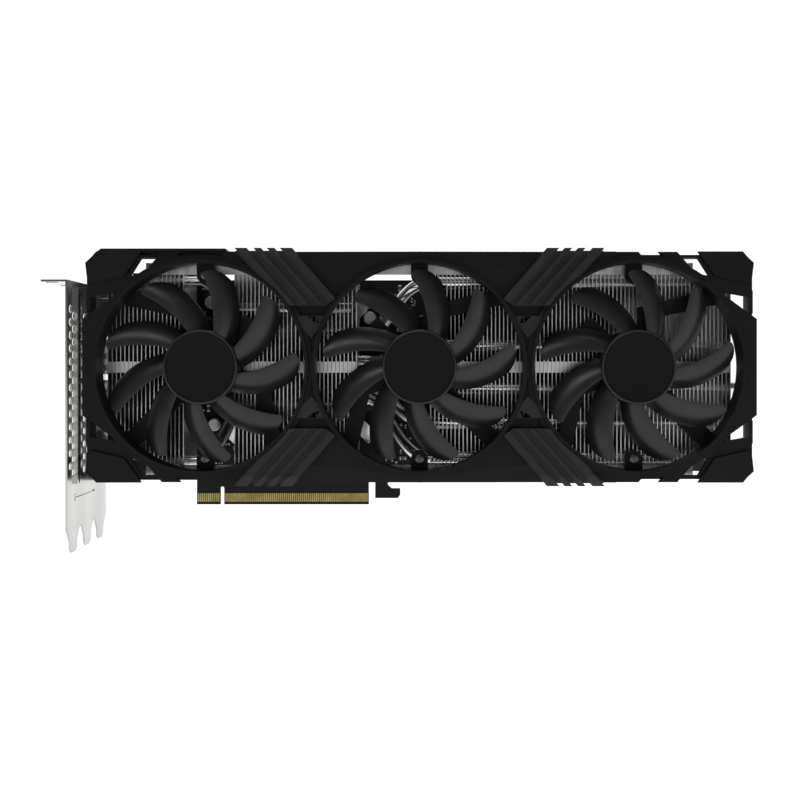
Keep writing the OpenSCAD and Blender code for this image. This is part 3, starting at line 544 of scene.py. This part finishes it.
def fin_stack(node):
    """Pressed fins with folded tabs; the CAD node gives the stack's box."""
    u0, u1, w0, w1, h0, h1 = levels(node)
    count = math.floor((u1 - u0 - fin_t) / fin_pitch)
    step = (u1 - u0 - fin_t) / count
    inlet_u0, inlet_u1, inlet_w, inlet_h = inlet_box
    right = node == "fin_stack_right"
    bm = bmesh.new()
    for i in range(count + 1):
        u = u0 + i * step
        inset = corner_inset if abs(u + fin_t / 2) > corner_u else 0
        low, high = w0 + inset, w1 - inset
        front_inset = max(inset, rail_w + 0.1)
        face = u + fin_t
        past = u + (step - tab_gap if i < count else fin_t)
        if right and inlet_u0 < u < inlet_u1:
            add_box(bm, (u, low, h0), (face, inlet_w, rail_low_h))
            add_box(bm, (u, inlet_w, inlet_h), (face, high, rail_low_h))
        else:
            add_box(bm, (u, low, h0), (face, high, rail_low_h))
            add_box(bm, (face, high - fin_t, h0), (past, high, h0 + base_tab))
        add_box(bm, (face, low, h0), (past, low + fin_t, h0 + base_tab))
        add_box(bm, (u, w0 + front_inset, rail_low_h), (face, w1 - front_inset, h1))
        add_box(bm, (face, middle_tab_low, h1 - edge_tab_t), (past, middle_tab_high, h1))
        add_box(bm, (face, high - edge_tab_t, h1 - edge_tab), (past, high, rail_low_h))
        add_box(bm, (face, low, h1 - edge_tab), (past, low + edge_tab_t, rail_low_h))
    new_piece(node + "_pressed", mesh_from(node, bm), "card", "fin_aluminium", node)


def rail_tabs():
    """The fins' front edges, folded over into two long combs."""
    u0, u1, w0, w1, h0, h1 = levels("heatsink_rails")
    count = round((u1 - u0) / fin_pitch)
    step = (u1 - u0) / count
    bm = bmesh.new()
    for low in (w0, w1 - rail_w):
        high = low + rail_w
        add_box(bm, (u0, low + rail_comb_proud, h0), (u1, high - rail_comb_proud, h1 - edge_tab_t))
        for i in range(count):
            u = u0 + i * step
            add_box(bm, (u, low, h1 - rail_comb_t), (u + step - tab_gap, high, h1))
    new_piece("rail_tabs", mesh_from("rail_tabs", bm), "card", "fin_aluminium", "heatsink_rails")


# the right stack's fins leave room for the power inlet: between two u, above a w and below an h
u0, u1, w0, w1, h0, h1 = levels("power_connector")
inlet_box = (u0 - 1.5, u1 + 1, w0 - 1, h1 + 0.6)
for stack in ("fin_stack_left", "fin_stack_middle", "fin_stack_right"):
    fin_stack(stack)
rail_tabs()

lane = 6.3
pipe_r = 3
base_pipe_h, fin_pipe_h = 9.5, 29
base_end_u = -84
edge_pipe_end_u = 125
turn_back_u, turn_back_w = -96, 27
# length between the rings of a swaged end, and the rings' sizes
swage_step = 0.7
swage_sizes = (0.8, 0.5, 0.15)
pipe_smoothing = 4


def route_through(*stations):
    """Corners of a route, from (u, w, whether it is in the base) to (u, w, h)."""
    return [(u, w, base_pipe_h if in_base else fin_pipe_h) for u, w, in_base in stations]


def rise_right(lane_w, fin_w, end_u):
    """From the base, through the gap at the right of the middle stack, into the right stack."""
    return route_through((-30, lane_w, True), (-20, lane_w, True), (-4, fin_w, False),
                         (10, fin_w, False), (end_u, fin_w, False))


def fall_left(lane_w, fin_w):
    """From the bracket end of the left stack, through the gap at its right, into the base."""
    return route_through((-edge_pipe_end_u, fin_w, False), (-108, fin_w, False), (-98, fin_w, False),
                         (-87, lane_w, True), (base_end_u, lane_w, True))


pipe_routes = [
    fall_left(2.5 * lane, 41) + rise_right(2.5 * lane, 39, edge_pipe_end_u),
    fall_left(-2.5 * lane, -44) + rise_right(-2.5 * lane, -42, edge_pipe_end_u),
    route_through((-34, 1.5 * lane, True), (base_end_u, 1.5 * lane, True),
                  (turn_back_u, 1.5 * lane, True), (turn_back_u, turn_back_w, False),
                  (base_end_u, turn_back_w, False), (-32, turn_back_w, False)),
    route_through((base_end_u, 0.5 * lane, True)) + rise_right(0.5 * lane, 10, 142),
    route_through((base_end_u, -0.5 * lane, True)) + rise_right(-0.5 * lane, -10, 149),
    route_through((base_end_u, -1.5 * lane, True)) + rise_right(-1.5 * lane, -26, 142),
]


def cut_corners(points):
    """Cuts each corner of an open line at a quarter of its two sides."""
    out = [points[0]]
    for i in range(len(points) - 1):
        a, b = points[i], points[i + 1]
        if i > 0:
            out.append(a.lerp(b, 0.25))
        if i < len(points) - 2:
            out.append(a.lerp(b, 0.75))
    return out + [points[-1]]


def heat_pipes():
    """Six bent pipes with swaged ends."""
    bm = bmesh.new()
    for route in pipe_routes:
        points = [at(*p) for p in route]
        for _ in range(pipe_smoothing):
            points = cut_corners(points)
        heading = (points[-1] - points[-2]).normalized()
        back = (points[0] - points[1]).normalized()
        radii = [pipe_r * MM] * len(points)
        for size in swage_sizes:
            points.append(points[-1] + heading * swage_step * MM)
            radii.append(pipe_r * size * MM)
            points.insert(0, points[0] + back * swage_step * MM)
            radii.insert(0, pipe_r * size * MM)
        add_tube(bm, points, radii)
    mesh = mesh_from("bent_heat_pipes", bm)
    piece = new_piece("bent_heat_pipes", mesh, "card", "plated_copper", "heat_pipes")
    smooth(piece, 50)


heat_pipes()


# ---------------------------------------------------------------- small parts

def node_solids(name):
    """Each separate solid in a CAD node: middle u and w, half width, lowest and highest h."""
    bm = bmesh.new()
    bm.from_mesh(nodes[name].data)
    bmesh.ops.remove_doubles(bm, verts=bm.verts, dist=1e-6)
    left, found = set(bm.verts), []
    while left:
        group, reached = set(), [left.pop()]
        while reached:
            vert = reached.pop()
            group.add(vert)
            for link in vert.link_edges:
                other = link.other_vert(vert)
                if other in left:
                    left.discard(other)
                    reached.append(other)
        us = [(vert.co.x - middle_x) / MM for vert in group]
        ws = [(vert.co.z - middle_z) / MM for vert in group]
        hs = [-vert.co.y / MM for vert in group]
        middle_u, middle_w = (min(us) + max(us)) / 2, (min(ws) + max(ws)) / 2
        found.append((middle_u, middle_w, (max(us) - min(us)) / 2, min(hs), max(hs)))
    bm.free()
    return sorted(found)


# the cans left of this u have their marks to the right, the others below
marks_turn_u = -60
mark_steps, mark_half_deg = 12, 42


def capacitors():
    """Solid capacitors: a can with a rolled groove and a coloured polarity mark on top."""
    rounding, dish_r_in, dish_depth, mark_t = 0.45, 0.8, 0.12, 0.05
    cans, marks = bmesh.new(), bmesh.new()
    for u, w, r, h0, h1 in node_solids("capacitors"):
        groove = h0 + 1.0
        profile = [(0, h0), (r, h0), (r, groove - 0.4), (r - 0.35, groove), (r, groove + 0.4)]
        profile += [(r - rounding + rounding * math.cos(a), h1 - rounding + rounding * math.sin(a))
                    for a in quarter_arc(18)]
        profile += [(r - 0.7, h1), (r - dish_r_in, h1 - dish_depth), (0, h1 - dish_depth)]
        add_lathe(cans, (u, w), profile, 48)
        middle_deg = 0 if u < marks_turn_u else 270
        arc = [math.radians(middle_deg - mark_half_deg + 2 * mark_half_deg * k / mark_steps)
               for k in range(mark_steps + 1)]
        outline = [(u + (r - dish_r_in) * math.cos(a), w + (r - dish_r_in) * math.sin(a)) for a in arc]
        dish_h = h1 - dish_depth
        add_prism(marks, [at(*p, dish_h) for p in outline], [at(*p, dish_h + mark_t) for p in outline])
    mesh = mesh_from("capacitor_cans", cans)
    piece = new_piece("capacitor_cans", mesh, "card", "capacitor_can", "capacitors")
    smooth(piece, 30)
    ink = Shade("mark_ink", (0.03, 0.2, 0.7), 0.4)
    ink.tint(ink.noise(900, 3), (0.02, 0.16, 0.6), (0.05, 0.26, 0.8))
    mark = new_piece("capacitor_marks", mesh_from("capacitor_marks", marks), "card", "capacitor_can")
    mark.data.materials[0] = ink.material


capacitors()


def footprint(u, w, half_u, half_w):
    return u - half_u, u + half_u, w - half_w, w + half_w


def footprints(name):
    """Footprints (u0, u1, w0, w1) of a CAD node's separate solids, with a margin."""
    margin = 0.6
    return [footprint(u, w, r + margin, r + margin) for u, w, r, _, _ in node_solids(name)]


# where small parts are strewn: two u, two w, which side of the board, and how many tries
small_part_fields = [((-108, -87), (-52, 40), 1, 150), ((-19, 3), (-52, 40), 1, 150),
                     ((-75, -41), (-17, 17), -1, 70)]


def small_parts():
    """Surface-mount resistors and capacitors on the board, where the gaps and the back show it."""
    ends, cores = bmesh.new(), bmesh.new()
    back_h, face_h = levels("circuit_board")[4:]
    part_t, spacing = 0.6, 0.4
    end_share, end_place, end_proud = 0.2, 0.82, 0.03
    taken = [spot for name in ("memory_chips", "capacitors", "chokes", "fan_headers")
             for spot in footprints(name)]
    for us, ws, side, tries in small_part_fields:
        h0, h1 = (face_h, face_h + part_t) if side > 0 else (back_h - part_t, back_h)
        for _ in range(tries):
            u, w = random.uniform(*us), random.uniform(*ws)
            length = random.choice((1.6, 1.6, 2.0, 3.2))
            upright = random.random() < 0.5
            du, dw = (length / 4, length / 2) if upright else (length / 2, length / 4)
            if any(u + du > a and u - du < b and w + dw > c and w - dw < d for a, b, c, d in taken):
                continue
            taken.append(footprint(u, w, du + spacing, dw + spacing))
            add_box(cores, (u - du, w - dw, h0), (u + du, w + dw, h1))
            for s in (-1, 1):
                if upright:
                    cu, cw, eu, ew = u, w + s * dw * end_place, du + end_proud, dw * end_share
                else:
                    cu, cw, eu, ew = u + s * du * end_place, w, du * end_share, dw + end_proud
                add_box(ends, (cu - eu, cw - ew, h0 - 0.02), (cu + eu, cw + ew, h1 + end_proud))
    core = new_piece("surface_parts", mesh_from("surface_parts", cores), "card", "chip_package")
    ceramic = Shade("tan_ceramic", (0.12, 0.07, 0.045), 0.5)
    ceramic.tint(ceramic.noise(700, 3), (0.03, 0.025, 0.022), (0.2, 0.13, 0.08))
    core.data.materials[0] = ceramic.material
    new_piece("surface_part_ends", mesh_from("surface_part_ends", ends), "card", "spring_steel")


small_parts()


def add_cross_cutter(bm, u, w, turn, arm, top, sign):
    """Two tapered bars, crossed, that cut a screw's recess."""
    half, taper, depth, proud = arm * 0.2, 0.5, 0.5, 0.2
    for extra in (0, QUARTER_TURN):
        c, s = math.cos(turn + extra), math.sin(turn + extra)
        corners = [(-arm, -half), (arm, -half), (arm, half), (-arm, half)]
        turned = [(x * c - y * s, x * s + y * c) for x, y in corners]
        add_prism(bm, [at(u + x * taper, w + y * taper, top - sign * depth) for x, y in turned],
                  [at(u + x, w + y, top + sign * proud) for x, y in turned])


def screw_heads(node, name, front):
    """Pan-head screws with a cross recess, in place of a CAD node's plain ones."""
    heads, crosses = bmesh.new(), bmesh.new()
    head_h, chamfer = 0.9, 0.2
    for u, w, r, h0, h1 in node_solids(node):
        foot, top, sign = (h0, h1, 1) if front else (h1, h0, -1)
        shank = r * 0.56
        seat = top - sign * head_h
        profile = [(0, foot), (shank - chamfer, foot), (shank, foot + sign * chamfer), (shank, seat),
                   (r, seat)]
        profile += [(r * (1 - 0.22 * (1 - math.cos(a))),
                     top - sign * (head_h - 0.15 - 0.6 * math.sin(a))) for a in quarter_arc(18)]
        profile += [(r * 0.45, top), (0, top)]
        add_lathe(heads, (u, w), profile, 40)
        turn = random.uniform(0, QUARTER_TURN)
        add_cross_cutter(crosses, u, w, turn, r * 0.42, top, sign)
    piece = new_piece(name, mesh_from(name, heads), "card", "black_steel", node)
    tool = in_scene("cutter", mesh_from("cutter", crosses))
    cut = piece.modifiers.new("recess", "BOOLEAN")
    cut.operation = "DIFFERENCE"
    cut.solver = "EXACT"
    cut.use_self = True
    cut.object = tool
    bpy.context.view_layer.update()
    done = bpy.data.meshes.new_from_object(piece.evaluated_get(bpy.context.evaluated_depsgraph_get()))
    piece.modifiers.clear()
    piece.data = done
    bpy.data.objects.remove(tool)
    smooth(piece, 30)


screw_heads("fan_screws", "fan_screw_heads", front=True)
screw_heads("backplate_screws", "backplate_screw_heads", front=False)


def coil_springs():
    """Springs under the heads of the processor's screws."""
    bm = bmesh.new()
    wire, turns, steps = 0.22, 3.5, 24
    for u, w, r, h0, h1 in node_solids("screw_springs"):
        points = []
        for k in range(int(turns * steps) + 1):
            a = 2 * math.pi * k / steps
            rise = h0 + wire + (h1 - h0 - 2 * wire) * k / (turns * steps)
            points.append(at(u + (r - wire) * math.cos(a), w + (r - wire) * math.sin(a), rise))
        add_tube(bm, points, [wire * MM] * len(points), 8)
    mesh = mesh_from("coil_springs", bm)
    piece = new_piece("coil_springs", mesh, "card", "spring_steel", "screw_springs")
    smooth(piece, 60)


coil_springs()


# ---------------------------------------------------------------- camera, light and floor

photo_focal_px = 1075
photo_size_px = 800
camera_away = 0.533885
shift_across, shift_up = -0.0244, -0.04125
floor_half, floor_front, backdrop_y, backdrop_top = 7, -7, 1.6, 2.2
floor_bend = 0.5
world_strength = 0.09
# name, place, size and power
area_lights = [
    ("key", (-0.25, -0.75, 0.85), (0.7, 0.35), 2.2),
    ("fill", (0.75, -0.8, 0.15), (0.5, 0.5), 0.2),
    ("top", (0.1, 0.0, 0.95), (0.9, 0.3), 1.2),
    ("back", (0.1, 0.9, 0.8), (0.9, 0.5), 2),
]


def add_camera():
    """The photo's camera: square on to the fans, level with the middle one."""
    lens = bpy.data.cameras.new("camera")
    lens.sensor_width = 36
    lens.lens = photo_focal_px / photo_size_px * lens.sensor_width
    lens.shift_x, lens.shift_y = shift_across, shift_up
    lens.clip_start = 0.01
    camera = in_scene("camera", lens)
    camera.location = (middle_x, -camera_away, middle_z)
    camera.rotation_euler = (QUARTER_TURN, 0, 0)
    scene.camera = camera


def add_area(name, place, aim, size, power):
    """A rectangular light that faces a point."""
    light = bpy.data.lights.new(name, "AREA")
    light.shape = "RECTANGLE"
    light.size, light.size_y = size
    light.energy = power
    obj = in_scene(name, light)
    obj.location = place
    obj.rotation_euler = (aim - Vector(place)).to_track_quat("-Z", "Y").to_euler()


def add_floor():
    """A pale floor that sweeps up into a backdrop behind the card."""
    low = cad_box[0][2] - 0.5 * MM
    bend = floor_bend
    profile = [(floor_front, low)]
    profile += [(backdrop_y - bend + bend * math.sin(a), low + bend - bend * math.cos(a))
                for a in quarter_arc(6)]
    profile.append((backdrop_y, backdrop_top))
    bm = bmesh.new()
    rows = [[bm.verts.new((x, y, z)) for y, z in profile] for x in (-floor_half, floor_half)]
    for i in range(len(profile) - 1):
        bm.faces.new((rows[0][i], rows[1][i], rows[1][i + 1], rows[0][i + 1]))
    obj = in_scene("floor", mesh_from("floor", bm))
    obj.data.shade_smooth()
    s = Shade("pale_floor", (0.45, 0.45, 0.45), 0.8, specular=0.1)
    s.set("Emission Color", (1, 1, 1, 1))
    s.set("Emission Strength", 0.88)
    obj.data.materials.append(s.material)


def add_light():
    """Soft area lights, aimed at the middle of the card, in a faint even surround."""
    world = bpy.data.worlds.new("world")
    scene.world = world
    world.use_nodes = True
    background = world.node_tree.nodes["Background"]
    background.inputs["Color"].default_value = (1, 1, 1, 1)
    background.inputs["Strength"].default_value = world_strength
    centre = at(0, 0, 30)
    for name, place, size, power in area_lights:
        add_area(name, place, centre, size, power)
    scene.view_settings.view_transform = "Standard"


add_camera()
add_floor()
add_light()
